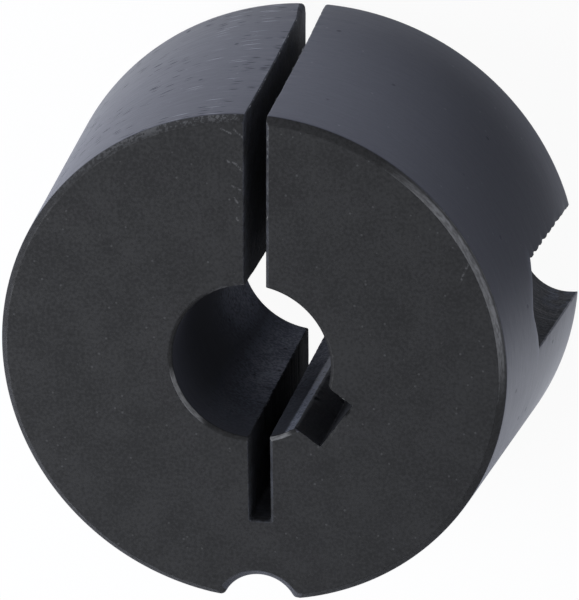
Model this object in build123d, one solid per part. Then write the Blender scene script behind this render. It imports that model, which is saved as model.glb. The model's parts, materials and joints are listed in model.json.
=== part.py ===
"""Taper bush: a slit bush, tapered outside and parallel inside, that clamps a keyed shaft in a hub.

The bush is one piece of cast iron, turned all over, then keyed, drilled and sawn.
It stands on its large end. Z = 0 is the large end face, +Z is the axis of the bore,
and the small end is up. +Y points to the slit. Lengths are millimetres, angles degrees.
Directions round the axis are counted from +X towards +Y.
"""

import os
from math import cos, radians, sin, tan

from build123d import *

# The turned blank
length = 22.3
large_diameter = 38.25
taper_per_side = 4.0
large_rim_chamfer = 0.45
small_rim_chamfer = 0.45
bore_diameter = 11.0
bore_chamfer = 0.25

# The keyway, broached through the bore
keyway_width = 4.0
keyway_depth = 1.8
keyway_direction = -34.7

# One saw cut makes the slit at +Y and, past the bore, the relief slot at -Y
saw_width = 1.43
saw_offset = 0.28
saw_lean = 1.25
saw_corner = 0.25
relief_depth = 6.05

# The half holes for the screws, drilled parallel to the axis on one circle just inside the large rim
screw_inset = 0.675

# Two blind half holes, opposite each other, whose ends the tightening screws press on.
# The depth is that of the plain wall, up to the cone that the drill's point leaves.
install_hole_diameter = 6.5
install_hole_depth = 12.2
drill_point_angle = 120
install_mouth_chamfer = 0.4
install_direction = 5.9

# One half hole right through, for the screw that pushes the bush out again
removal_hole_diameter = 5.4
removal_mouth_chamfer = 0.45
removal_direction = -89.0

# How far a cutter runs past the surface that it starts from
overrun = 2.0

large_radius = large_diameter / 2
bore_radius = bore_diameter / 2
screw_circle_radius = large_radius - screw_inset


def taper_radius(height):
    """Radius of the outside taper at a height above the large end face."""
    return large_radius - height * tan(radians(taper_per_side))


def turned(*outline):
    """The solid that a closed outline of (radius, height) points sweeps round the Z axis."""
    corners = [(radius, 0, height) for radius, height in outline]
    return revolve(make_face(Polyline(*corners, close=True)), Axis.Z)


def along(direction, reach):
    """A place on the large end face, at a reach from the axis in a direction."""
    return Pos(reach * cos(radians(direction)), reach * sin(radians(direction)), 0)


def blank():
    """The turned body: taper, bore and a chamfer on each of the four rims."""
    return turned(
        (bore_radius + bore_chamfer, 0),
        (large_radius - large_rim_chamfer, 0),
        (taper_radius(large_rim_chamfer), large_rim_chamfer),
        (taper_radius(length - small_rim_chamfer), length - small_rim_chamfer),
        (taper_radius(length) - small_rim_chamfer, length),
        (bore_radius + bore_chamfer, length),
        (bore_radius, length - bore_chamfer),
        (bore_radius, bore_chamfer),
    )


def keyway():
    """The square-cornered bar that the broach takes out, from the axis to the keyway's floor."""
    reach = bore_radius + keyway_depth
    bar = Box(reach, keyway_width, length + 2 * overrun, align=(Align.MIN, Align.CENTER, Align.CENTER))
    return Pos(0, 0, length / 2) * Rot(0, 0, keyway_direction) * bar


def saw_cut():
    """The blade's path: in through the rim at +Y, across the bore and on into the far wall.

    The blade leans a little about Y, and its worn corners round the floor of the relief slot.
    """
    floor = -(bore_radius + relief_depth)
    rim = large_radius + overrun
    blade = Pos(0, floor, 0) * Box(
        saw_width, rim - floor, length + 2 * overrun, align=(Align.CENTER, Align.MIN, Align.CENTER)
    )
    floor_edges = blade.faces().sort_by(Axis.Y)[0].edges().filter_by(Axis.Z)
    blade = fillet(floor_edges, min(saw_corner, saw_width / 3))
    return Pos(saw_offset, 0, length / 2) * Rot(0, saw_lean, 0) * blade


def install_hole():
    """A blind hole up from the large end, with an eased mouth and the cone of the drill's point at its end."""
    radius = install_hole_diameter / 2
    mouth = radius + install_mouth_chamfer + overrun
    point = radius / tan(radians(drill_point_angle / 2))
    return turned(
        (0, -overrun),
        (mouth, -overrun),
        (radius, install_mouth_chamfer),
        (radius, install_hole_depth),
        (0, install_hole_depth + point),
    )


def removal_hole():
    """A hole through both end faces, with both mouths eased. The screw's thread isn't cut in it here."""
    radius = removal_hole_diameter / 2
    mouth = radius + removal_mouth_chamfer + overrun
    return turned(
        (0, -overrun),
        (mouth, -overrun),
        (radius, removal_mouth_chamfer),
        (radius, length - removal_mouth_chamfer),
        (mouth, length + overrun),
        (0, length + overrun),
    )


def taper_bush():
    """The finished bush, as one solid."""
    bush = blank() - keyway() - saw_cut()
    for direction in (install_direction, install_direction + 180):
        bush -= along(direction, screw_circle_radius) * install_hole()
    bush -= along(removal_direction, screw_circle_radius) * removal_hole()
    return bush


os.makedirs("parts", exist_ok=True)
export_step(taper_bush(), "parts/taper_bush.step")
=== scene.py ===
"""Taper bush: a slit cast iron bush, tapered outside, blackened all over, standing on its large end.

The bush is one closed mesh, built as a stack of section outlines. Each outline runs anticlockwise
round the outside from the slit, dips into the three half holes, and comes back clockwise through
the slit, the bore, the keyway and the relief slot. The small burrs along its edges are a second
piece. Lengths are metres, angles are degrees.
"""

import json
from math import cos, pi, radians, sin, tan

import bpy
import numpy as np
from mathutils import Matrix, Vector, noise

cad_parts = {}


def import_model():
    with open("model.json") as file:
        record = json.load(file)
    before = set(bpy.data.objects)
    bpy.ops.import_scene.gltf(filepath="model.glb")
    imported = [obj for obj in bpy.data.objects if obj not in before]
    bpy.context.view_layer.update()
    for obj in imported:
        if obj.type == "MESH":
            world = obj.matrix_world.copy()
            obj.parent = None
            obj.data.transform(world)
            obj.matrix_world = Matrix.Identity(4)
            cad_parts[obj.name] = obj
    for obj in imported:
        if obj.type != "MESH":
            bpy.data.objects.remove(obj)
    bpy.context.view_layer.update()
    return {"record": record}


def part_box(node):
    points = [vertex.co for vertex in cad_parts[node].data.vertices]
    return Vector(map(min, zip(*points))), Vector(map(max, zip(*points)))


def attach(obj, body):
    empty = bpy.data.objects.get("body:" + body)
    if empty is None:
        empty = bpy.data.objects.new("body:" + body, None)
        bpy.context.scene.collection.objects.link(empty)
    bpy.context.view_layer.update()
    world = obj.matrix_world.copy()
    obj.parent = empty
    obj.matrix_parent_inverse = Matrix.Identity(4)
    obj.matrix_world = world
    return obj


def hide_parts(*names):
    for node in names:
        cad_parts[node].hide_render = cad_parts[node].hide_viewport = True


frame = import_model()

MM = 0.001
NODE = "taper_bush"
MOUNTS = {mount["name"]: mount for mount in frame["record"]["mounts"]}
LOWEST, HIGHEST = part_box(NODE)


def mount_size(name, dimension):
    """A dimension of one of the bush's mounts, in metres."""
    return MOUNTS[name]["dims"][dimension] * MM


def mount_reach(name):
    """How far a mount lies from the axis."""
    return Vector(MOUNTS[name]["pos_m"][:2]).length


def mount_direction(name):
    """The direction of a mount from the axis, from +X towards +Y."""
    place = Vector(MOUNTS[name]["pos_m"][:2])
    return np.degrees(np.arctan2(place.y, place.x))


# The turned blank
LENGTH = HIGHEST.z - LOWEST.z
LARGE_RADIUS = 38.25 / 2 * MM
TAPER = 4.0
LARGE_RIM = 0.45 * MM
SMALL_RIM = 0.45 * MM
BORE_RADIUS = mount_size("shaft_bore", "r_mm")
BORE_RIM = 0.25 * MM

# The keyway
KEYWAY_HALF_WIDTH = 1.94 * MM
KEYWAY_FLOOR = BORE_RADIUS + 1.75 * MM
KEYWAY_DIRECTION = mount_direction("keyway") - 0.6

# The saw cut: the slit at +Y and the relief slot at -Y
SAW_HALF_WIDTH = 0.715 * MM
SAW_OFFSET = 0.28 * MM
SAW_LEAN = 1.25
SAW_CORNER = 0.25 * MM
SLIT_TURN = 0.8
SLIT_PIVOT = 16.0 * MM
SLIT_BOW = 0.1 * MM
RELIEF_FLOOR = BORE_RADIUS + 6.05 * MM

# The half holes
SCREW_CIRCLE = mount_reach("removal_half_hole")
TIGHTENING_RADIUS = mount_size("tightening_half_hole", "r_mm")
TIGHTENING_DEPTH = mount_size("tightening_half_hole", "length_mm")
TIGHTENING_RIM = 0.4 * MM
DRILL_POINT = 120.0
REMOVAL_RADIUS = mount_size("removal_half_hole", "r_mm")
REMOVAL_RIM = 0.45 * MM
THREAD_PITCH = 1.27 * MM
THREAD_DEPTH = 0.45 * MM
THREAD_END = 17.0 * MM
BITE_DEPTH = 0.2 * MM
FAINT_BITE_DEPTH = 0.012 * MM
BITE_EDGE = 95.0
BITE_REACH = 40.0

# Edges at the two ends: how far each sawn wall's edge is broken, and how round a chamfer's corners are
EDGE_BREAK = 0.07 * MM
RIGHT_EDGE_BREAK = 0.18 * MM
ROUNDING = 0.05 * MM

# Lengthwise edges: how far each is broken, how much more it is near one end, and the most of a run
# that it takes up
SHARP_BREAK = 0.05 * MM
FINE_BREAK = 0.08 * MM
PLAIN_BREAK = 0.1 * MM
DULL_BREAK = 0.12 * MM
BLUNT_BREAK = 0.17 * MM
LEFT_END_BREAK = 0.3 * MM
RIGHT_END_BREAK = 0.14 * MM
LIP_BREAK = 0.3 * MM
MOST_OF_RUN = 0.3
TEAR_DEPTH = 0.12 * MM
TEAR_LENGTH = 0.9 * MM

# Wear: how far it reaches from an edge, how deep it bites, and how long its nicks are
WEAR_REACH = 0.16 * MM
NICK_DEPTH = 0.05 * MM
NICK_LENGTH = 0.45 * MM
LEAST_NEARNESS = 0.05
LEAST_RUB = 0.05
# How far the painted highlight above a blind half hole reaches
HIGHLIGHT_REACH = 0.55 * MM

# Zones of wear, painted highlights and painted sheens, in degrees round the axis: the middle, how far
# from it the zone is full, and how far from it the zone ends
LEFT_SIDE = (180, 80, 92)
BESIDE_SLIT = (90, 5, 26)
RIM_BAND = (26, 6, 42)
POLISHED_RIM = (92, 5, 58)
BORE_RIM_LEFT = (211, 12, 30)
BORE_RIM_BOTTOM = (287, 8, 16)
BORE_STRIP = (299, 3, 5.5)

# The bore's other painted sheens: strength, zone, and the heights in mm up to which it is full and where it
# ends
BORE_SHEENS = ((0.45, (289, 4, 12), (5, 17)), (0.5, (262, 6, 44), (8, 24)), (0.36, (198, 10, 45), (3, 12)))

# Scratches and nicks in the small end face, most of them beside the slit: two ends each, in mm
SCRATCHES = (
    ((-1.3, 14.5), (-0.6, 14.2)), ((-0.6, 14.2), (-0.1, 13.7)), ((-1.2, 12.9), (-0.3, 12.4)),
    ((-0.8, 11.9), (-0.5, 11.3)), ((-1.7, 16.7), (-1.0, 16.4)), ((-0.8, 16.7), (-0.1, 16.1)),
    ((-0.7, 10.5), (-0.6, 10.3)), ((1.9, 17.2), (2.6, 17.4)), ((15.1, 8.2), (14.6, 6.9)),
)
SCRATCH_WIDTH = 0.1 * MM
SCRATCH_BEND = 0.22 * MM

# The finishes, in the order of the mesh's material slots
FACE, TAPERED, BORED, SAWN, KEYED, BLIND, THROUGH, RIM = range(8)


# The rows of the stack

# Each end row is so many mm below the face, and drawn in so many mm from the true edge
END_RINGS = ((0.0, 0.6), (0.0, 0.35), (0.0, 0.2), (0.0, 0.06), (0.0, 0.04), (0.006, 0.01))
END_DEPTHS = (0.02, 0.05, 0.09, 0.15, 0.22, 0.3, 0.36, 0.4, 0.43, 0.46, 0.5, 0.56, 0.65, 0.8)
END_ROWS = (*END_RINGS, *((depth, 0.0) for depth in END_DEPTHS))
ROW_STEP = 0.16 * MM
POINT_ROWS = (0.0, 0.03, 0.2, 0.4, 0.6, 0.75, 0.86, 0.93, 0.97, 0.99, 1.0)


def point_rise():
    """How far the drill's point reaches above the plain wall before its cone leaves the taper."""
    slope = tan(radians(DRILL_POINT / 2))
    outside = SCREW_CIRCLE - LARGE_RADIUS + TIGHTENING_DEPTH * tan(radians(TAPER))
    return (TIGHTENING_RADIUS - outside) / (slope + tan(radians(TAPER)))


def rows():
    """Heights of the rows, and how far each is drawn in over an end face."""
    low_end = [(depth * MM, over * MM) for depth, over in END_ROWS]
    high_end = [(LENGTH - depth * MM, over * MM) for depth, over in END_ROWS[::-1]]
    lowest = low_end[-1][0]
    shoulder = TIGHTENING_DEPTH
    tip = shoulder + point_rise()
    plain = np.linspace(lowest, shoulder, round((shoulder - lowest) / ROW_STEP) + 1)[1:-1]
    point = [shoulder + (tip - shoulder) * share for share in POINT_ROWS]
    threaded = np.linspace(tip, THREAD_END, round((THREAD_END - tip) / ROW_STEP) + 1)[1:]
    bare = np.linspace(THREAD_END, high_end[0][0], 7)[1:-1]
    middle = [(height, 0.0) for height in (*plain, *point, *threaded, *bare)]
    return np.array(low_end + middle + high_end).T


HEIGHTS, OVER = rows()


def drawn_back(low_chamfer, high_chamfer):
    """How far a wall stands back from its true place in each row, for the chamfers at its two ends."""
    low = low_chamfer - HEIGHTS
    high = high_chamfer - (LENGTH - HEIGHTS)
    eased = sum((reach + np.sqrt(reach**2 + ROUNDING**2)) / 2 for reach in (low, high))
    return eased + OVER


# The runs of the outline: each is a function of a share of its way and gives a point for each row

def point(x, y):
    """Points, one for each row."""
    return np.stack(np.broadcast_arrays(x, y), axis=-1)


def polar(radius, direction, centre=0.0):
    """Points at a radius and a direction from a centre, one for each row."""
    angle = np.radians(direction)
    return centre + point(radius * np.cos(angle), radius * np.sin(angle))


def straight(start, end):
    """A straight run between two corners."""
    return lambda share: start + (end - start) * np.reshape(share, (-1, 1))


def bearing(points):
    """The direction of each point from the axis, in radians."""
    return np.arctan2(points[:, 1], points[:, 0])


def curved(centre, start, end, turn, radius_at=None):
    """An arc between two corners about a centre, anticlockwise for turn 1 and clockwise for -1.

    It keeps the radius of its first corner, unless radius_at gives one for each angle.
    """
    first = start - centre
    start_angle = bearing(first)
    swept = (turn * (bearing(end - centre) - start_angle)) % (2 * pi)
    even = np.hypot(first[:, 0], first[:, 1])

    def arc(share):
        """The arc's points at a share of its way."""
        angle = start_angle + turn * swept * share
        radius = radius_at(angle) if radius_at else even
        return centre + point(radius * np.cos(angle), radius * np.sin(angle))

    return arc


def outer_radius():
    """Radius of the taper in each row, with its two rim chamfers."""
    return LARGE_RADIUS - HEIGHTS * tan(radians(TAPER)) - drawn_back(LARGE_RIM, SMALL_RIM)


def crossing(radius, direction, side):
    """The corner where the outside meets a half hole's wall, on one side of the hole's direction."""
    outside = outer_radius()
    reach = SCREW_CIRCLE
    spread = np.arccos((reach**2 + outside**2 - radius**2) / (2 * reach * outside))
    return polar(outside, direction + side * np.degrees(spread))


def groove(phase):
    """A rounded V groove that repeats with each turn: 0 on the crest and 1 in the root."""
    return 0.5 - 0.5 * np.cos(2 * pi * phase)


def faded(values, start, end):
    """1 up to start, 0 from end on, and smooth between."""
    share = np.clip((values - start) / (end - start), 0.0, 1.0)
    return 1.0 - share * share * (3.0 - 2.0 * share)


def grooved_run(direction, plain, grooved):
    """A half hole's corners and its wall, where grooved gives the radius of each row at an angle."""
    centre = polar(SCREW_CIRCLE, direction)

    def corner(side):
        """The corner on one side, where the grooved wall meets the outside."""
        angle = bearing(crossing(plain, direction, side) - centre)
        return crossing(grooved(angle), direction, side)

    start = corner(-1)
    end = corner(1)
    return start, end, curved(centre, start, end, -1, grooved)


def tightening_run(direction):
    """A blind half hole's corners and its run, which becomes part of the outside above the hole.

    The screw has bitten into the wall beside one edge, and marked the rest of it faintly.
    """
    climb = np.maximum(HEIGHTS - TIGHTENING_DEPTH, 0.0)
    plain = TIGHTENING_RADIUS + drawn_back(TIGHTENING_RIM, 0.0) - climb * tan(radians(DRILL_POINT / 2))
    gap = SCREW_CIRCLE - outer_radius()
    closed = climb > point_rise() * 0.999
    plain = np.where(closed, gap + 0.005 * MM + 0.3 * (climb - point_rise()), plain)
    inward = radians(direction + 180)
    fade = faded(HEIGHTS, TIGHTENING_DEPTH - 0.2 * THREAD_PITCH, TIGHTENING_DEPTH + 0.2 * THREAD_PITCH)

    def bitten(angle):
        """The wall's radius at an angle, with the screw's bites."""
        from_middle = np.degrees((inward - angle + pi) % (2 * pi) - pi)
        beside = 1.0 - faded(from_middle, BITE_EDGE - BITE_REACH, BITE_EDGE)
        turn = HEIGHTS / THREAD_PITCH - angle / (2 * pi) + 0.25
        risen = np.minimum(HEIGHTS / TIGHTENING_DEPTH, 1.0)
        deepening = 0.12 + 0.95 * risen**1.6 + 0.35 * risen * np.sin(2.3 * turn + direction)
        depth = FAINT_BITE_DEPTH + (BITE_DEPTH * deepening - FAINT_BITE_DEPTH) * beside
        return plain + depth * fade * np.maximum(0.0, 1.6 * groove(turn) - 0.6)

    start, end, wall = grooved_run(direction, plain, bitten)
    outside = curved(np.zeros(2), start, end, 1)
    return start, end, lambda share: np.where(closed[:, None], outside(share), wall(share))


def removal_run(direction):
    """The through half hole's corners and its threaded run."""
    clear = REMOVAL_RADIUS + drawn_back(REMOVAL_RIM, REMOVAL_RIM)
    fade = faded(HEIGHTS, THREAD_END - 1.5 * THREAD_PITCH, THREAD_END)

    def threaded(angle):
        """The wall's radius at an angle, with the thread."""
        turn = HEIGHTS / THREAD_PITCH - angle / (2 * pi)
        return np.maximum(clear, REMOVAL_RADIUS + THREAD_DEPTH * fade * groove(turn))

    return grooved_run(direction, clear, threaded)


def ragged(place, size):
    """A soft random number from about -1 to 1, which changes over the given size."""
    return noise.noise(place / size) + 0.5 * noise.noise(place / size * 2.3 + Vector((7.1, 3.3, 5.7)))


def on_circle(x, radius):
    """The points of a circle about the axis at a given X, on the side of the slit."""
    return point(x, np.sqrt(radius**2 - x**2))


def slit_shift(reach):
    """How far the saw had wandered sideways at a reach from the axis: a turn and a slight bow."""
    return (reach - SLIT_PIVOT) * tan(radians(SLIT_TURN)) + SLIT_BOW * np.sin(pi * HEIGHTS / LENGTH)


def outline():
    """The runs of the outline in order: (name, run, columns, finish, edge break at its start)."""
    outside = outer_radius()
    bore = BORE_RADIUS + drawn_back(BORE_RIM, BORE_RIM)
    plain = drawn_back(EDGE_BREAK, EDGE_BREAK)
    middle = SAW_OFFSET + (HEIGHTS - LENGTH / 2) * tan(radians(SAW_LEAN))
    half_cut = SAW_HALF_WIDTH / cos(radians(SAW_LEAN)) + plain
    left = middle - half_cut
    right = middle + half_cut - plain + drawn_back(EDGE_BREAK, RIGHT_EDGE_BREAK)
    left_rim, right_rim = (on_circle(x + slit_shift(outside), outside) for x in (left, right))
    slit_left, slit_right = (on_circle(x + slit_shift(bore), bore) for x in (left, right))
    tears = [abs(ragged(Vector((0.0, 0.0, height)), TEAR_LENGTH)) for height in HEIGHTS]
    torn = left - TEAR_DEPTH * np.array(tears)
    relief_left, relief_right = (point(x, -np.sqrt(bore**2 - x**2)) for x in (torn, right))
    floor_left, floor_right = (point(x, -RELIEF_FLOOR - plain) for x in (left, right))

    crisp = np.where(OVER > 0.1 * MM, OVER, 0.2 * OVER)
    half_key = KEYWAY_HALF_WIDTH + crisp
    key_mouth = polar(np.sqrt(bore**2 - half_key**2), KEYWAY_DIRECTION)
    key_floor = polar(KEYWAY_FLOOR + crisp, KEYWAY_DIRECTION)
    key_side = polar(half_key, KEYWAY_DIRECTION + 90)

    tight = mount_direction("tightening_half_hole")
    opposite_start, opposite_end, opposite_wall = tightening_run(tight + 180)
    tight_start, tight_end, tight_wall = tightening_run(tight)
    removal_start, removal_end, removal_wall = removal_run(mount_direction("removal_half_hole"))
    axis = np.zeros(2)
    slit_edge_left = DULL_BREAK + LEFT_END_BREAK * faded(HEIGHTS, 0.3 * MM, 4.0 * MM)
    slit_edge_right = PLAIN_BREAK + RIGHT_END_BREAK * faded(HEIGHTS, 0.2 * MM, 1.6 * MM)
    lip = FINE_BREAK + LIP_BREAK * faded(LENGTH - HEIGHTS, 0.2 * MM, 2.0 * MM)
    return (
        ("left taper", curved(axis, left_rim, opposite_start, 1), 46, TAPERED, slit_edge_left),
        ("opposite half hole", opposite_wall, 28, BLIND, PLAIN_BREAK),
        ("lower taper", curved(axis, opposite_end, removal_start, 1), 38, TAPERED, PLAIN_BREAK),
        ("removal half hole", removal_wall, 40, THROUGH, lip),
        ("lower right taper", curved(axis, removal_end, tight_start, 1), 46, TAPERED, lip),
        ("tightening half hole", tight_wall, 32, BLIND, PLAIN_BREAK),
        ("right taper", curved(axis, tight_end, right_rim, 1), 42, TAPERED, SHARP_BREAK),
        ("slit right wall", straight(right_rim, slit_right), 28, SAWN, slit_edge_right),
        ("right bore", curved(axis, slit_right, key_mouth + key_side, -1), 32, BORED, FINE_BREAK),
        ("keyway high wall", straight(key_mouth + key_side, key_floor + key_side), 7, KEYED, DULL_BREAK),
        ("keyway floor", straight(key_floor + key_side, key_floor - key_side), 8, KEYED, SHARP_BREAK),
        ("keyway low wall", straight(key_floor - key_side, key_mouth - key_side), 7, KEYED, SHARP_BREAK),
        ("lower bore", curved(axis, key_mouth - key_side, relief_right, -1), 18, BORED, BLUNT_BREAK),
        ("relief right wall", straight(relief_right, floor_right), 10, SAWN, FINE_BREAK),
        ("relief floor", straight(floor_right, floor_left), 6, SAWN, SAW_CORNER),
        ("relief left wall", straight(floor_left, relief_left), 10, SAWN, SAW_CORNER),
        ("left bore", curved(axis, relief_left, slit_left, -1), 56, BORED, FINE_BREAK),
        ("slit left wall", straight(slit_left, left_rim), 26, SAWN, FINE_BREAK),
    )


CORNER_COLUMNS = 4
SUPPORT = 0.1 * MM


def run_length(run):
    """Length of a run in each row."""
    points = np.stack([run(share) for share in np.linspace(0.0, 1.0, 9)])
    steps = np.diff(points, axis=0)
    return np.hypot(steps[..., 0], steps[..., 1]).sum(0)


def columns():
    """Every column of the stack: its points for each row, its finish and its nearness to a corner."""
    runs = outline()
    placed = []
    tip = TIGHTENING_DEPTH + point_rise()
    below_tip = faded(HEIGHTS, tip - 0.6 * MM, tip)
    for index, (_, run, count, finish, start_break) in enumerate(runs):
        last_finish = runs[index - 1][3]
        _, next_run, _, next_finish, end_break = runs[(index + 1) % len(runs)]
        starts = below_tip if BLIND in (last_finish, finish) else np.ones(len(HEIGHTS))
        ends = below_tip if BLIND in (finish, next_finish) else np.ones(len(HEIGHTS))
        length = run_length(run)
        first = np.minimum(start_break / length, MOST_OF_RUN)
        last = 1.0 - np.minimum(end_break / length, MOST_OF_RUN)
        support = np.minimum(SUPPORT / length, 0.5 * (last - first) / (count - 1))
        inner = [first + (last - first) * (step / (count - 1)) for step in range(1, count - 1)]
        for share in (first, first + support, *inner, last - support, last):
            from_start = starts * np.exp(-(((share - first) * length / WEAR_REACH) ** 2))
            from_end = ends * np.exp(-(((last - share) * length / WEAR_REACH) ** 2))
            placed.append((run(share), finish, np.maximum(from_start, from_end)))
        corner = next_run(0.0)
        before = run(last)
        after = next_run(np.minimum(end_break / run_length(next_run), MOST_OF_RUN))
        for step in range(1, CORNER_COLUMNS):
            t = step / CORNER_COLUMNS
            bent = before * (1 - t) ** 2 + corner * 2 * t * (1 - t) + after * t**2
            placed.append((bent, finish, ends))
    return placed


def rim_nearness():
    """How near each row is to a corner at the two ends: 0 at the inner edge of an end face's ring."""
    depths = np.minimum(HEIGHTS, LENGTH - HEIGHTS)
    reach = OVER + depths
    return np.exp(-((reach / WEAR_REACH) ** 2)) * (OVER < 0.59 * MM)


def in_zone(direction, zone):
    """How much a direction belongs to a zone: 1 in its middle and 0 past its end."""
    middle, full, end = zone
    away = abs(direction - middle)
    return float(faded(min(away, 360 - away), full, end))


def up_to(distance, full, end):
    """1 up to a distance in mm, 0 from another one on, and smooth between."""
    return float(faded(distance, full * MM, end * MM))


def glint_and_wear_at(x, y, height, finish):
    """How much wear a place has had, from 0 to 1; on the rims its bands also stand in for painted
    highlights.
    """
    direction = np.degrees(np.arctan2(y, x)) % 360
    high = height > LENGTH / 2
    left = in_zone(direction, LEFT_SIDE)
    # On the rims, the bands in BORE_RIM_LEFT, BORE_RIM_BOTTOM and RIM_BAND are wear and painted highlight at
    # once
    if finish == RIM and np.hypot(x, y) < LARGE_RADIUS / 2:
        wear_and_glint = max(0.9 * in_zone(direction, BORE_RIM_LEFT), 0.6 * in_zone(direction, BORE_RIM_BOTTOM))
        return wear_and_glint if high else LEAST_RUB
    if finish == RIM:
        band = 0.95 * in_zone(direction, RIM_BAND) if high else 0.0
        return max(LEAST_RUB + band, 0.18 * left)
    if finish == TAPERED:
        return 0.1 + 0.3 * left + 0.6 * (in_zone(direction, BESIDE_SLIT) * left)
    if finish == KEYED:
        return 0.0
    if finish == SAWN and y > 0:
        return 0.2 + 0.35 * up_to(LARGE_RADIUS - y, 1, 4) if x > SAW_OFFSET else 0.1
    return LEAST_RUB


def painted_highlight_above_hole(x, y, height):
    """A painted highlight on the taper above the end of the nearer blind half hole, from 0 to 1."""
    angle = radians(mount_direction("tightening_half_hole") + (0 if x > 0 else 180))
    reach = np.hypot(x - SCREW_CIRCLE * cos(angle), y - SCREW_CIRCLE * sin(angle))
    cone = TIGHTENING_RADIUS - (height - TIGHTENING_DEPTH) * tan(radians(DRILL_POINT / 2))
    away = (reach - cone) * cos(radians(DRILL_POINT / 2))
    return float(np.exp(-((away / HIGHLIGHT_REACH) ** 2))) if height > TIGHTENING_DEPTH else 0.0


def sheen(x, y, height, finish):
    """Where a painted highlight or painted sheen lies, from 0 to 1, on the taper, the blind half holes and
    the bore, and where the rim beside the slit is flecked with wear.
    """
    direction = np.degrees(np.arctan2(y, x)) % 360
    # The taper's painted highlight above the blind half holes
    if finish == TAPERED:
        return painted_highlight_above_hole(x, y, height)
    if finish == RIM and y > LARGE_RADIUS / 4 and height > LENGTH / 2:
        return in_zone(direction, POLISHED_RIM) if direction > POLISHED_RIM[0] else 0.0
    # A painted sheen low on the blind half holes' walls
    if finish == BLIND:
        return up_to(height, 1, 6.5) * (1.0 - up_to(abs(y), 0.9, 1.3))
    if finish != BORED:
        return 0.0
    # Painted sheen in the bore: a light strip beside the keyway and broader patches, by direction and height
    strip = in_zone(direction, BORE_STRIP) * (0.4 + 0.9 * up_to(height, 8, 21))
    others = [most * in_zone(direction, zone) * up_to(height, *ends) for most, zone, ends in BORE_SHEENS]
    return max(strip, *others)


def finish_at(row, finish):
    """The finish of a column in one row: the ends, the rims and the taper above a blind hole differ."""
    height = HEIGHTS[row]
    depth = min(height, LENGTH - height)
    if finish == BLIND and height > TIGHTENING_DEPTH + 0.999 * point_rise():
        finish = TAPERED
    if finish in (TAPERED, BORED) and OVER[row] > 0.02 * MM:
        return FACE
    if finish == TAPERED and depth < 1.001 * SMALL_RIM or finish == BORED and depth < 1.001 * BORE_RIM:
        return RIM
    return finish


def nick(mesh, places, nearness):
    """Bites nicks into the mesh along its normals, deepest at the corners."""
    normals = np.zeros(3 * len(mesh.vertices))
    mesh.vertices.foreach_get("normal", normals)
    for index, normal in enumerate(normals.reshape(-1, 3)):
        if nearness[index] > LEAST_NEARNESS:
            bite = NICK_DEPTH * nearness[index] * max(0.0, ragged(Vector(places[index]), NICK_LENGTH))
            level = places[index][2] in (0.0, LENGTH)
            places[index] -= bite * normal * (1, 1, 0 if level else 1)
    mesh.vertices.foreach_set("co", places.ravel())


def bush_mesh():
    """The bush as one closed mesh.

    Its point attributes say where it wears and where light is painted: edge is nearness to a lengthwise
    corner, rim is nearness to a corner at the ends, rub_and_glint is how much wear the place has had, with
    painted highlights in the rims' bands, and sheen_and_flecks is where a painted highlight or sheen lies,
    with flecks of wear on the rim beside the slit.
    """
    placed = columns()
    count = len(placed)
    grid = np.zeros((len(HEIGHTS), count, 3))
    edges = np.zeros((len(HEIGHTS), count))
    for column, (points, _, near) in enumerate(placed):
        grid[:, column, :2] = points
        grid[:, column, 2] = HEIGHTS
        edges[:, column] = near
    rims = np.repeat(rim_nearness()[:, None], count, axis=1)
    edges *= (OVER < 0.2 * MM)[:, None]
    finished = [[finish_at(row, finish) for _, finish, _ in placed] for row in range(len(HEIGHTS))]
    faces = []
    finishes = []
    for row in range(len(HEIGHTS) - 1):
        flat = HEIGHTS[row] == HEIGHTS[row + 1]
        lower = row if HEIGHTS[row] < LENGTH / 2 else row + 1
        for column in range(count):
            here = row * count + column
            beside = row * count + (column + 1) % count
            faces.append((here, beside, beside + count, here + count))
            finishes.append(FACE if flat else finished[lower][column])
    faces.append(tuple(range(count))[::-1])
    faces.append(tuple((len(HEIGHTS) - 1) * count + column for column in range(count)))
    finishes += [FACE, FACE]
    places = grid.reshape(-1, 3)
    mesh = bpy.data.meshes.new("bush_body")
    mesh.from_pydata(places.tolist(), [], faces)
    mesh.polygons.foreach_set("material_index", finishes)
    mesh.polygons.foreach_set("use_smooth", [True] * len(faces))
    mesh.update()
    kinds = [finish for line in finished for finish in line]
    rub_and_glint = [glint_and_wear_at(*place, kind) for place, kind in zip(places, kinds)]
    sheen_and_flecks = [sheen(*place, kind) for place, kind in zip(places, kinds)]
    nick(mesh, places, np.maximum(edges, rims).ravel())
    for name, values in (("edge", edges.ravel()), ("rim", rims.ravel()), ("rub_and_glint", rub_and_glint), ("sheen_and_flecks", sheen_and_flecks)):
        data = mesh.attributes.new(name, "FLOAT", "POINT").data
        data.foreach_set("value", np.array(values, dtype=np.float32))
    mesh.update()
    return mesh


# Nodes

def node(tree, kind, inputs=None, **settings):
    """The outputs of a new node with its settings made and its inputs set or linked."""
    made = tree.nodes.new(kind)
    for name, value in settings.items():
        setattr(made, name, value)
    for socket, value in (inputs or {}).items():
        if isinstance(value, bpy.types.NodeSocket):
            tree.links.new(value, made.inputs[socket])
        else:
            made.inputs[socket].default_value = value
    return made.outputs


def add(tree, kind, inputs=None, **settings):
    """The outputs of a new shader node."""
    return node(tree, "ShaderNode" + kind, inputs, **settings)


def math(tree, operation, *values, **settings):
    """The result of a Math node."""
    return add(tree, "Math", dict(enumerate(values)), operation=operation, **settings)[0]


def times(tree, first, second):
    """The product of two values."""
    return math(tree, "MULTIPLY", first, second)


def both(tree, first, second):
    """The greater of two values."""
    return math(tree, "MAXIMUM", first, second)


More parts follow.
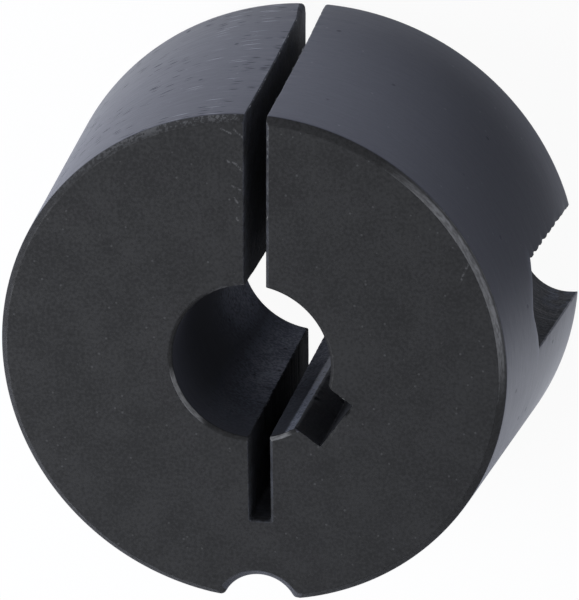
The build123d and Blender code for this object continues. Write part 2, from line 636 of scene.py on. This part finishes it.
def vector_math(tree, operation, *values):
    """The result of a Vector Math node: a vector, or the number that some operations give."""
    made = add(tree, "VectorMath", dict(enumerate(values)), operation=operation)
    return made["Value" if operation in ("DOT_PRODUCT", "DISTANCE", "LENGTH") else "Vector"]


def ramp(tree, value, low, high, bottom=0.0, top=1.0):
    """A value's place between low and high, made smooth and held between bottom and top."""
    sockets = {"Value": value, "From Min": low, "From Max": high, "To Min": bottom, "To Max": top}
    return add(tree, "MapRange", sockets, interpolation_type="SMOOTHSTEP")["Result"]


def noise_at(tree, place, scale, detail, roughness=0.5, output="Fac"):
    """Noise at a place."""
    inputs = {"Vector": place, "Scale": scale, "Detail": detail, "Roughness": roughness}
    return add(tree, "TexNoise", inputs)[output]


def blend(tree, share, first, second):
    """A colour that goes from first to second."""
    return add(tree, "Mix", {0: share, 6: first, 7: second}, data_type="RGBA")[2]


def cover(tree, colour, mask, strength, laid):
    """A colour with another one laid over it where a mask says."""
    return blend(tree, times(tree, mask, strength), colour, laid)


def new_group(kind, name, inputs, outputs):
    """An empty node group with named sockets of the given kinds: the group and its two ends."""
    group = bpy.data.node_groups.new(name, kind)
    for way, sockets in (("INPUT", inputs), ("OUTPUT", outputs)):
        for socket, holds in sockets.items():
            group.interface.new_socket(name=socket, in_out=way, socket_type="NodeSocket" + holds)
    return group, group.nodes.new("NodeGroupInput").outputs, group.nodes.new("NodeGroupOutput").inputs


def shader_group(name, values, outputs):
    """An empty shader node group that takes a place and some values, and gives numbers."""
    inputs = {"Place": "Vector", **dict.fromkeys(values, "Float")}
    made = new_group("ShaderNodeTree", name, inputs, dict.fromkeys(outputs, "Float"))
    for socket in made[0].interface.items_tree:
        if socket.name in values:
            socket.default_value = values[socket.name]
    return made


def use(tree, group, place, **values):
    """The outputs of a shader node group, set in a material at a place with its own values."""
    inputs = {name.replace("_", " "): value for name, value in values.items()}
    return add(tree, "Group", {"Place": place, **inputs}, node_tree=group)


def dots(tree, place, scale, share, inner, outer):
    """A mask of round dots: one in each chosen cell, full up to inner and gone at outer."""
    cells = add(tree, "TexVoronoi", {"Vector": place, "Scale": scale, "Randomness": 1.0})
    chance = add(tree, "SeparateColor", {"Color": cells["Color"]})["Red"]
    chosen = math(tree, "LESS_THAN", chance, share)
    return times(tree, chosen, ramp(tree, cells["Distance"], inner, outer, 1.0, 0.0))


def cast_grain():
    """The fine grain of blackened iron, with its cloudy patches, light specks and pits."""
    values = {"Fineness": 6500.0, "Speck Share": 0.04, "Pit Share": 0.04}
    group, coming, going = shader_group("cast_grain", values, ("Tone", "Specks", "Pits", "Height"))
    place = coming["Place"]
    fine = noise_at(group, place, coming["Fineness"], 3.0, 0.62)
    cloud = noise_at(group, place, times(group, coming["Fineness"], 0.09), 3.0, 0.6)
    total = math(group, "MULTIPLY_ADD", cloud, 0.32, times(group, fine, 0.68))
    group.links.new(ramp(group, total, 0.34, 0.66), going["Tone"])
    group.links.new(fine, going["Height"])
    for output, share, fineness in (("Specks", "Speck Share", 0.9), ("Pits", "Pit Share", 0.5)):
        scale = times(group, coming["Fineness"], fineness)
        group.links.new(dots(group, place, scale, coming[share], 0.18, 0.42), going[output])
    return group


def tool_lines():
    """Fine lines that a tool leaves, level with the X and Y of their place, with streaks and strokes."""
    values = {"Spacing": 0.12 * MM, "Length": 4 * MM, "Streak Share": 0.05, "Stroke Share": 0.05}
    group, coming, going = shader_group("tool_lines", values, ("Lines", "Streaks", "Strokes"))
    along = math(group, "DIVIDE", 1.0, coming["Length"])
    across = math(group, "DIVIDE", 1.0, coming["Spacing"])
    stretch = add(group, "CombineXYZ", {"X": along, "Y": along, "Z": across})[0]
    drawn = vector_math(group, "MULTIPLY", coming["Place"], stretch)
    group.links.new(noise_at(group, drawn, 1.0, 3.0, 0.6), going["Lines"])
    for output, share, shortness, offset in (
        ("Streaks", "Streak Share", 0.8, 11.3),
        ("Strokes", "Stroke Share", 1.5, 31.7),
    ):
        shape = (shortness, shortness, 0.8)
        moved = vector_math(group, "MULTIPLY_ADD", drawn, shape, (offset,) * 3)
        group.links.new(dots(group, moved, 1.0, coming[share], 0.12, 0.36), going[output])
    return group


def edge_wear():
    """Where handling and sizing have taken the black off an edge, ragged at its border."""
    values = {"Nearness": 0.0, "Rub": 0.3, "Raggedness": 1.0}
    group, coming, going = shader_group("edge_wear", values, ("Wear",))
    fine = noise_at(group, coming["Place"], 4200.0, 4.0, 0.7)
    patchy = noise_at(group, coming["Place"], 700.0, 2.0)
    mixed = math(group, "MULTIPLY_ADD", patchy, 0.4, times(group, fine, 0.6))
    centred = math(group, "SUBTRACT", mixed, 0.5)
    swing = times(group, centred, times(group, coming["Raggedness"], 2.4))
    reach = math(group, "ADD", coming["Nearness"], math(group, "SUBTRACT", coming["Rub"], 1.0))
    wear_and_glint = ramp(group, math(group, "ADD", reach, swing), 0.05, 0.75)
    allowed = ramp(group, coming["Rub"], 0.0, 0.35)
    group.links.new(times(group, wear_and_glint, allowed), going["Wear"])
    return group


GRAIN = cast_grain()
LINES = tool_lines()
WEAR = edge_wear()


# The materials: tones and glosses of the finishes, and the tints of their highlights

WHITE = (1.0, 1.0, 1.0, 1.0)
WORN = (0.15, 0.155, 0.17, 1.0)
# Bare iron, which on the rims' bands also stands in for a painted highlight
BARE_AND_GLINT = (0.36, 0.37, 0.4, 1.0)
FACE_TONE = 0.0205
FACE_GLOSS = 0.12
TAPER_TONE = 0.012
TAPER_GLOSS = 0.73
TAPER_TINT = (0.73, 0.77, 1.0, 1.0)
TAPER_ROUGHNESS = 0.34
RIM_TONE = 0.016
RIM_GLOSS = 0.2
BORE_GLOSS = 0.6
BORE_TINT = (0.7, 0.74, 1.0, 1.0)
# The colour of the painted sheen in the bore
BORE_SHEEN = 0.6
BURR_GLOSS = 0.5
WALL_TINT = (0.74, 0.78, 1.0, 1.0)

# The cut walls: name, turn of the tool's marks, tone, gloss, roughness, spacing of the marks and bump depth
CUT_WALLS = (
    ("sawn_wall", (38, 0, 0), 0.024, 0.15, 0.6, 0.25 * MM, 0.05 * MM),
    ("broached_wall", (90, 20, 0), 0.014, 0.5, 0.4, 0.2 * MM, 0.03 * MM),
    ("drilled_wall", (0, 0, 0), 0.016, 0.1, 0.5, 0.3 * MM, 0.12 * MM),
    ("threaded_wall", (0, 0, 0), 0.016, 0.5, 0.45, 0.16 * MM, 0.03 * MM),
)


def attribute(tree, name):
    """A point attribute of the bush."""
    return add(tree, "Attribute", attribute_type="GEOMETRY", attribute_name=name)["Fac"]


def new_material(name, gloss, tint=WHITE):
    """A material, its node tree and the place on the piece. Its plain values stand on its shader."""
    material = bpy.data.materials.new(name)
    material.use_nodes = True
    tree = material.node_tree
    shader = tree.nodes["Principled BSDF"]
    shader.inputs["Specular IOR Level"].default_value = gloss
    shader.inputs["Specular Tint"].default_value = tint
    return material, tree, add(tree, "TexCoord")["Object"]


def colour_of(value, blueness):
    """A dark neutral colour that leans to blue."""
    return (value, value * (1 + 0.25 * blueness), value * (1 + blueness), 1.0)


def toned(tree, share, tone, spread, blueness):
    """A tone that goes from darker to lighter by a share of itself."""
    darker, lighter = (colour_of(tone * (1 + way * spread), blueness) for way in (-1, 1))
    return blend(tree, share, darker, lighter)


def wear_of(tree, place, raggedness=1.0):
    """The wear mask from the bush's attributes."""
    near = both(tree, attribute(tree, "edge"), attribute(tree, "rim"))
    rub_and_glint = attribute(tree, "rub_and_glint")
    return use(tree, WEAR, place, Nearness=near, Rub=rub_and_glint, Raggedness=raggedness)["Wear"]


def finish_off(material, colour, roughness, height, strength, depth):
    """The material with colour, roughness and a bump linked to its shader."""
    tree = material.node_tree
    bump = add(tree, "Bump", {"Height": height, "Strength": strength, "Distance": depth})[0]
    for name, value in (("Base Color", colour), ("Roughness", roughness), ("Normal", bump)):
        tree.links.new(value, tree.nodes["Principled BSDF"].inputs[name])
    return material


def scratch(tree, place, start, end):
    """A mask for one scratch between two points of the small end face, given in mm."""
    first = Vector((*start, LENGTH / MM)) * MM
    way = Vector((*end, LENGTH / MM)) * MM - first
    reach = vector_math(tree, "SUBTRACT", place, first)
    along = vector_math(tree, "DOT_PRODUCT", reach, way)
    share = math(tree, "DIVIDE", along, way.length_squared, use_clamp=True)
    nearest = add(tree, "VectorMath", {0: way, "Scale": share}, operation="SCALE")[0]
    away = vector_math(tree, "DISTANCE", reach, nearest)
    return ramp(tree, away, SCRATCH_WIDTH * 0.3, SCRATCH_WIDTH, 1.0, 0.0)


def face_material():
    """The end faces: matt, with a fine grain, light specks, a few scratches and corners where the black has
    gone with wear.
    """
    material, tree, place = new_material("blackened_face", FACE_GLOSS)
    grain = use(tree, GRAIN, place, Fineness=4300.0, Speck_Share=0.02, Pit_Share=0.04)
    colour = toned(tree, grain["Tone"], FACE_TONE, 0.2, 0.18)
    colour = cover(tree, colour, grain["Specks"], 0.22, WORN)
    colour = cover(tree, colour, grain["Pits"], 0.5, colour_of(0.012, 0.2))
    colour = cover(tree, colour, wear_of(tree, place), 0.45, WORN)
    bend = noise_at(tree, place, 2500.0, 2.0, output="Color")
    bent = vector_math(tree, "MULTIPLY_ADD", bend, (SCRATCH_BEND, SCRATCH_BEND, 0.0), place)
    scratches = 0.0
    for start, end in SCRATCHES:
        scratches = both(tree, scratches, scratch(tree, bent, start, end))
    scratches = times(tree, scratches, ramp(tree, grain["Tone"], 0.2, 0.8, 0.05, 0.4))
    colour = blend(tree, scratches, colour, WORN)
    roughness = ramp(tree, grain["Tone"], 0.0, 1.0, 0.72, 0.6)
    return finish_off(material, colour, roughness, grain["Height"], 0.35, 0.03 * MM)


def taper_material():
    """The taper: smoother and glossier than the faces, with turning lines, strokes and streaks, and a
    painted highlight above the blind half holes.
    """
    material, tree, place = new_material("blackened_taper", TAPER_GLOSS, TAPER_TINT)
    grain = use(tree, GRAIN, place, Fineness=3600.0, Speck_Share=0.01, Pit_Share=0.01)
    lines = use(tree, LINES, place, Spacing=0.14 * MM, Length=2 * MM, Streak_Share=0.34, Stroke_Share=0.45)
    rub_and_glint = attribute(tree, "rub_and_glint")
    patches = noise_at(tree, place, 330.0, 2.0)
    colour = toned(tree, grain["Tone"], TAPER_TONE, 0.2, 0.3)
    strokes = times(tree, lines["Strokes"], ramp(tree, rub_and_glint, 0.1, 0.4, 0.05, 1.0))
    strokes = times(tree, strokes, ramp(tree, patches, 0.42, 0.58))
    dark = both(tree, strokes, times(tree, grain["Pits"], 0.4))
    colour = cover(tree, colour, dark, 0.9, colour_of(0.003, 0.2))
    streaks = times(tree, lines["Streaks"], ramp(tree, rub_and_glint, 0.34, 0.85))
    streaks = times(tree, streaks, ramp(tree, patches, 0.38, 0.5, 0.35, 1.0))
    colour = cover(tree, colour, streaks, 0.9, BARE_AND_GLINT)
    colour = cover(tree, colour, grain["Specks"], 0.35, WORN)
    # Painted highlight: a lighter bluish colour on the taper just above the blind half holes
    colour = cover(tree, colour, attribute(tree, "sheen_and_flecks"), 0.4, colour_of(0.15, 0.35))
    colour = cover(tree, colour, wear_of(tree, place, 1.2), 0.8, WORN)
    smooth = ramp(tree, lines["Lines"], 0.35, 0.65, TAPER_ROUGHNESS - 0.02, TAPER_ROUGHNESS + 0.03)
    roughness = math(tree, "ADD", smooth, times(tree, dark, 0.6))
    height = math(tree, "SUBTRACT", times(tree, lines["Lines"], 0.2), dark)
    height = math(tree, "ADD", height, times(tree, streaks, 0.8))
    height = math(tree, "ADD", height, times(tree, grain["Height"], 0.3))
    return finish_off(material, colour, roughness, height, 0.45, 0.03 * MM)


def rim_material():
    """The chamfers round the two ends: matt, with streaky bands that are partly wear and partly painted
    highlight, and flecks beside the slit.
    """
    material, tree, place = new_material("blackened_rim", RIM_GLOSS)
    grain = use(tree, GRAIN, place, Fineness=4300.0, Speck_Share=0.03, Pit_Share=0.04)
    lines = use(tree, LINES, place, Spacing=0.1 * MM, Length=0.5 * MM)
    colour = toned(tree, grain["Tone"], RIM_TONE, 0.4, 0.2)
    height = add(tree, "SeparateXYZ", {0: place})["Z"]
    depth = math(tree, "MINIMUM", height, math(tree, "SUBTRACT", LENGTH, height))
    inner = ramp(tree, depth, SMALL_RIM * 0.6, SMALL_RIM * 0.8, 1.0, 0.22)
    outer = ramp(tree, depth, SMALL_RIM * 0.88, SMALL_RIM * 0.97, 0.0, 0.6)
    bands = both(tree, inner, outer)
    streaked = ramp(tree, lines["Lines"], 0.3, 0.66, 0.45, 1.05)
    # Painted highlight and wear: streaky light bands on the chamfers, strongest where the attribute places
    # them
    wear_and_glint = times(tree, times(tree, streaked, bands), ramp(tree, attribute(tree, "rub_and_glint"), 0.15, 0.9))
    colour = cover(tree, colour, wear_and_glint, 0.72, BARE_AND_GLINT)
    flecked = ramp(tree, grain["Tone"], 0.3, 0.7, 0.25, 1.0)
    flecked = times(tree, flecked, ramp(tree, depth, 0.0, SMALL_RIM * 0.8, 0.25, 1.0))
    flecked = times(tree, flecked, attribute(tree, "sheen_and_flecks"))
    colour = cover(tree, colour, flecked, 0.7, WORN)
    colour = cover(tree, colour, times(tree, wear_of(tree, place, 1.4), bands), 0.35, WORN)
    roughness = ramp(tree, grain["Tone"], 0.0, 1.0, 0.6, 0.48)
    bumps = math(tree, "ADD", times(tree, lines["Lines"], 0.5), grain["Height"])
    return finish_off(material, colour, roughness, bumps, 0.35, 0.03 * MM)


def bore_material():
    """The bore: bored lines round it, and a painted bluish sheen beside the relief slot and the keyway."""
    material, tree, place = new_material("blackened_bore", BORE_GLOSS, BORE_TINT)
    grain = use(tree, GRAIN, place, Fineness=4500.0, Speck_Share=0.02, Pit_Share=0.05)
    lines = use(tree, LINES, place, Spacing=0.13 * MM, Length=2.2 * MM, Streak_Share=0.03, Stroke_Share=0.3)
    colour = blend(tree, ramp(tree, lines["Lines"], 0.3, 0.7), colour_of(0.004, 0.3), colour_of(0.011, 0.35))
    # Painted sheen: a light bluish colour laid on where the attribute says, brightest in the strip beside
    # the keyway
    painted_sheen = times(tree, attribute(tree, "sheen_and_flecks"), ramp(tree, grain["Tone"], 0.1, 0.9, 0.55, 1.15))
    colour = blend(tree, painted_sheen, colour, colour_of(BORE_SHEEN, 0.45))
    colour = cover(tree, colour, both(tree, lines["Strokes"], grain["Pits"]), 0.7, colour_of(0.004, 0.2))
    colour = cover(tree, colour, wear_of(tree, place), 0.8, WORN)
    roughness = ramp(tree, painted_sheen, 0.0, 0.8, 0.72, 0.22)
    height = math(tree, "MULTIPLY_ADD", grain["Height"], 0.3, lines["Lines"])
    return finish_off(material, colour, roughness, height, 0.4, 0.03 * MM)


def marked_material(name, turn, tone, gloss, roughness, spacing, depth):
    """A dark cut wall with a tool's marks, which run square to the Z of the turned place."""
    material, tree, place = new_material(name, gloss, WALL_TINT)
    turned = add(tree, "Mapping", {"Vector": place, "Rotation": [radians(angle) for angle in turn]})[0]
    grain = use(tree, GRAIN, place, Fineness=5000.0, Speck_Share=0.03, Pit_Share=0.04)
    lines = use(tree, LINES, turned, Spacing=spacing, Length=2.5 * MM)
    colour = toned(tree, ramp(tree, lines["Lines"], 0.3, 0.7), tone, 0.4, 0.15)
    clouds = noise_at(tree, place, 900.0, 4.0, 0.65)
    # Lighter bluish clouds: a random tone on every cut wall, with a painted sheen on the blind half holes'
    # walls
    clouds_and_sheen = both(tree, attribute(tree, "sheen_and_flecks"), 0.12)
    clouds_and_sheen = times(tree, clouds_and_sheen, ramp(tree, clouds, 0.4, 0.63))
    colour = blend(tree, clouds_and_sheen, colour, colour_of(tone * 6.0, 0.5))
    colour = cover(tree, colour, grain["Specks"], 0.25, WORN)
    colour = cover(tree, colour, lines["Streaks"], 0.3, WORN)
    colour = cover(tree, colour, wear_of(tree, place), 0.6, WORN)
    rough = ramp(tree, grain["Tone"], 0.0, 1.0, roughness - 0.05, roughness + 0.08)
    height = math(tree, "MULTIPLY_ADD", grain["Height"], 0.5, lines["Lines"])
    return finish_off(material, colour, rough, height, 0.5, depth)


def new_piece(name, data):
    """An object in the scene."""
    piece = bpy.data.objects.new(name, data)
    bpy.context.scene.collection.objects.link(piece)
    return piece


def bush():
    """The bush, which stands for its node."""
    mesh = bush_mesh()
    piece = new_piece("bush_body", mesh)
    for material in (
        face_material(),
        taper_material(),
        bore_material(),
        *(marked_material(*wall) for wall in CUT_WALLS),
        rim_material(),
    ):
        mesh.materials.append(material)
    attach(piece, "root")
    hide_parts(NODE)


# The burrs: slivers that the saw, the broach and handling left along the edges. Each end path lies
# so deep below the small end face, and the corner paths stop clear of it

BURRS = {"Spacing": 0.25 * MM, "Share": 0.2, "Length": 0.2 * MM, "Thickness": 0.025 * MM, "Seed": 5}
BURR_SIZES = (0.35, 1.5)
BURR_TILT = 0.08
BURR_DEPTH = 0.06 * MM
RIM_BURR_DEPTH = 0.1 * MM
BURR_CLEARANCE = 1 * MM


def end_path(run, depth, first, last):
    """Points along a run at a depth below the small end face."""
    row = int(np.argmin(abs(HEIGHTS - (LENGTH - depth)) + OVER))
    return [(*run(share)[row], HEIGHTS[row]) for share in np.linspace(first, last, 40)]


def corner_path(run, lowest):
    """Points along the corner at a run's start, from a height up to near the small end."""
    corner = run(0.0)
    chosen = (HEIGHTS > lowest) & (HEIGHTS < LENGTH - BURR_CLEARANCE)
    return [(*corner[row], HEIGHTS[row]) for row in np.flatnonzero(chosen)]


def burr_tree():
    """Geometry nodes that set slivers along every edge of a mesh: one at each chosen step."""
    shapes = {"Geometry": "Geometry"}
    sockets = {**shapes, **dict.fromkeys(BURRS, "Float"), "Seed": "Int", "Material": "Material"}
    tree, coming, going = new_group("GeometryNodeTree", "edge_burrs", sockets, shapes)

    def drawn(kind, **inputs):
        """A random value for each point."""
        seeded = {**inputs, "Seed": coming["Seed"]}
        return node(tree, "FunctionNodeRandomValue", seeded, data_type=kind)["Value"]

    curve = node(tree, "GeometryNodeMeshToCurve", {"Mesh": coming["Geometry"]})["Curve"]
    steps = {"Curve": curve, "Length": coming["Spacing"]}
    points = node(tree, "GeometryNodeCurveToPoints", steps, mode="LENGTH")
    chosen = drawn("BOOLEAN", Probability=coming["Share"])
    sizes = drawn("FLOAT", Min=BURR_SIZES[0], Max=BURR_SIZES[1])
    turns = drawn("FLOAT_VECTOR", Min=(-BURR_TILT, -BURR_TILT, 0.0), Max=(BURR_TILT, BURR_TILT, 6.3))
    thickness = coming["Thickness"]
    shape = add(tree, "CombineXYZ", {"X": thickness, "Y": thickness, "Z": coming["Length"]})["Vector"]
    scale = add(tree, "VectorMath", {0: shape, "Scale": sizes}, operation="SCALE")["Vector"]
    sliver = node(tree, "GeometryNodeMeshIcoSphere", {"Radius": 1.0, "Subdivisions": 1})["Mesh"]
    turning = {"Rotation": points["Rotation"], "Rotate By": turns}
    turned = node(tree, "FunctionNodeRotateRotation", turning, rotation_space="LOCAL")["Rotation"]
    placing = {"Points": points["Points"], "Selection": chosen, "Instance": sliver}
    placing |= {"Rotation": turned, "Scale": scale}
    placed = node(tree, "GeometryNodeInstanceOnPoints", placing)["Instances"]
    real = node(tree, "GeometryNodeRealizeInstances", {"Geometry": placed})["Geometry"]
    finishing = {"Geometry": real, "Material": coming["Material"]}
    tree.links.new(node(tree, "GeometryNodeSetMaterial", finishing)["Geometry"], going["Geometry"])
    return tree


def burr_material():
    """Bare iron of the burrs, mottled where some of the black is left."""
    material, tree, place = new_material("bare_burrs", BURR_GLOSS)
    grain = use(tree, GRAIN, place, Fineness=6000.0)
    colour = blend(tree, grain["Tone"], colour_of(0.06, 0.2), WORN)
    roughness = ramp(tree, grain["Tone"], 0.0, 1.0, 0.6, 0.4)
    return finish_off(material, colour, roughness, grain["Height"], 0.3, 0.01 * MM)


def burrs():
    """The burrs along the slit, the keyway and the relief slot."""
    runs = {name: run for name, run, *_ in outline()}
    paths = (
        end_path(runs["slit right wall"], BURR_DEPTH, 0.0, 0.6),
        end_path(runs["right taper"], RIM_BURR_DEPTH, 0.97, 1.0),
        end_path(runs["keyway high wall"], BURR_DEPTH, 0.0, 0.6),
        corner_path(runs["slit right wall"], 8 * MM),
        corner_path(runs["left taper"], 4 * MM),
        corner_path(runs["left bore"], 1 * MM),
    )
    vertices = []
    edges = []
    for path in paths:
        edges += [(len(vertices) + step, len(vertices) + step + 1) for step in range(len(path) - 1)]
        vertices += path
    guide = bpy.data.meshes.new("burr_guide")
    guide.from_pydata(vertices, edges, [])
    piece = new_piece("edge_burrs", guide)
    tree = burr_tree()
    grower = piece.modifiers.new("burrs", "NODES")
    grower.node_group = tree
    material = burr_material()
    values = {**BURRS, "Material": material}
    for socket in tree.interface.items_tree:
        if socket.name in values:
            grower[socket.identifier] = values[socket.name]
    evaluated = piece.evaluated_get(bpy.context.evaluated_depsgraph_get())
    mesh = bpy.data.meshes.new_from_object(evaluated)
    piece.modifiers.remove(grower)
    piece.data = mesh
    bpy.data.meshes.remove(guide)
    mesh.materials.clear()
    mesh.materials.append(material)
    mesh.polygons.foreach_set("material_index", [0] * len(mesh.polygons))
    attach(piece, "root")


# The stage: floor, light and camera. A glow is how bright the floor is where the bush mirrors it

FLOOR_SIZE = 4.0
FLOOR_COLOUR = (0.82, 0.85, 0.98, 1.0)
FLOOR_SEEN = 0.95
# The colour of the floor's painted glow in reflections, a little blue
MIRRORED_WHITE = (1.0, 1.03, 1.12, 1.0)
FLOOR_GAP = 0.02 * MM
FLOOR_GLOW = 0.045
FOOT_GLOW = 0.62
BORE_GLOW = 0.2
FOOT_GLOW_REACH = 4.0 * MM
FOOT_GLOW_SHIFT = Vector((0.9, 0.7, 0.0)) * MM
SPOT_GLOW = 0.62
SPOT_RADIUS = 15.0 * MM
SPOT_PLACE = Vector((22.5, -10.5, 0.0)) * MM
ROOM_LIGHT = 0.11

# The lamps: azimuth, elevation, distance and size in metres, and power
LAMPS = {
    "key": (192, 50, 0.21, 0.16, 0.52),
    "rim": (0, 18, 0.5, 0.25, 0.36),
    "fill": (80, 18, 0.5, 0.3, 0.1),
}

VIEW_AZIMUTH = 59.44
VIEW_ELEVATION = 66.79
VIEW_ROLL = -147.93
VIEW_DISTANCE = 349.6 * MM
VIEW_AIM = Vector((0.332, 0.606, 11.135)) * MM
VIEW_LENS = 300.0
VIEW_SENSOR = 36.0
VIEW_CLIP = 0.01


def seen_share(tree, camera_share, mirrored_share):
    """A factor that is camera_share for what the camera sees, and mirrored_share in reflections."""
    path = add(tree, "LightPath")
    mirrored = both(tree, path["Is Glossy Ray"], path["Is Transmission Ray"])
    seen = times(tree, path["Is Camera Ray"], camera_share)
    return math(tree, "ADD", seen, times(tree, mirrored, mirrored_share))


def floor():
    """A plain pale floor, clear from below, with a painted glow in reflections that the taper mirrors
    brightest round the bush's foot and in a spot beside it.
    """
    mesh = bpy.data.meshes.new("floor")
    half = FLOOR_SIZE / 2
    corners = [(x, y, -FLOOR_GAP) for x, y in ((-half, -half), (half, -half), (half, half), (-half, half))]
    mesh.from_pydata(corners, [], [(0, 1, 2, 3)])
    piece = new_piece("floor", mesh)
    material, tree, place = new_material("white_floor", 0.0)
    shader = tree.nodes["Principled BSDF"]
    shader.inputs["Base Color"].default_value = FLOOR_COLOUR
    shader.inputs["Roughness"].default_value = 1.0
    # Painted glow in reflections: brighter round the foot, dimmer under the bore, and a bright spot beside
    # the bush
    reach = vector_math(tree, "LENGTH", vector_math(tree, "ADD", place, FOOT_GLOW_SHIFT))
    outside = ramp(tree, reach, LARGE_RADIUS, LARGE_RADIUS + FOOT_GLOW_REACH, FOOT_GLOW, FLOOR_GLOW)
    under = ramp(tree, reach, LARGE_RADIUS - 3 * MM, LARGE_RADIUS - 1 * MM, BORE_GLOW, FOOT_GLOW)
    spot = ramp(tree, vector_math(tree, "DISTANCE", place, SPOT_PLACE), 0.0, SPOT_RADIUS, SPOT_GLOW, 0.0)
    mirrored = math(tree, "ADD", math(tree, "MINIMUM", outside, under), spot)
    by_camera = add(tree, "LightPath")["Is Camera Ray"]
    tint = blend(tree, by_camera, MIRRORED_WHITE, WHITE)
    white = add(tree, "Emission", {"Color": tint, "Strength": 1.0})[0]
    glowing = seen_share(tree, FLOOR_SEEN, mirrored)
    lit = add(tree, "MixShader", {0: glowing, 1: shader.outputs[0], 2: white})[0]
    from_below = times(tree, add(tree, "NewGeometry")["Backfacing"], by_camera)
    clear = add(tree, "BsdfTransparent")[0]
    seen = add(tree, "MixShader", {0: from_below, 1: lit, 2: clear})[0]
    tree.links.new(seen, tree.nodes["Material Output"].inputs["Surface"])
    mesh.materials.append(material)


def world():
    """Soft light from all round, white where it is seen or mirrored."""
    studio = bpy.data.worlds.new("studio")
    bpy.context.scene.world = studio
    studio.use_nodes = True
    tree = studio.node_tree
    room = tree.nodes["Background"]
    room.inputs["Color"].default_value = WHITE
    room.inputs["Strength"].default_value = ROOM_LIGHT
    white = add(tree, "Background", {"Color": WHITE, "Strength": 1.0})[0]
    mix = add(tree, "MixShader", {0: seen_share(tree, 1.0, 1.0), 1: room.outputs[0], 2: white})[0]
    tree.links.new(mix, tree.nodes["World Output"].inputs["Surface"])


def direction_of(azimuth, elevation):
    """The direction of a lamp or the camera from the bush. Azimuth goes from +X towards +Y."""
    a = radians(azimuth)
    e = radians(elevation)
    return Vector((cos(a) * cos(e), sin(a) * cos(e), sin(e)))


def area_light(name, azimuth, elevation, distance, size, power):
    """A soft lamp that faces the bush."""
    lamp = bpy.data.lights.new(name, "AREA")
    lamp.shape = "DISK"
    lamp.size = size
    lamp.energy = power
    piece = new_piece(name, lamp)
    direction = direction_of(azimuth, elevation)
    piece.location = Vector((0, 0, LENGTH / 2)) + direction * distance
    piece.rotation_euler = direction.to_track_quat("Z", "Y").to_euler()


def camera():
    """The camera, far off with a long lens."""
    lens = bpy.data.cameras.new("camera")
    lens.lens = VIEW_LENS
    lens.sensor_width = VIEW_SENSOR
    lens.clip_start = VIEW_CLIP
    piece = new_piece("camera", lens)
    direction = direction_of(VIEW_AZIMUTH, VIEW_ELEVATION)
    level = direction.to_track_quat("Z", "Y").to_matrix()
    turned = level @ Matrix.Rotation(radians(VIEW_ROLL), 3, "Z")
    piece.matrix_world = Matrix.Translation(VIEW_AIM + direction * VIEW_DISTANCE) @ turned.to_4x4()
    bpy.context.scene.camera = piece


bush()
burrs()
floor()
world()
for lamp_name, setting in LAMPS.items():
    area_light(lamp_name, *setting)
camera()
bpy.context.scene.view_settings.view_transform = "Standard"
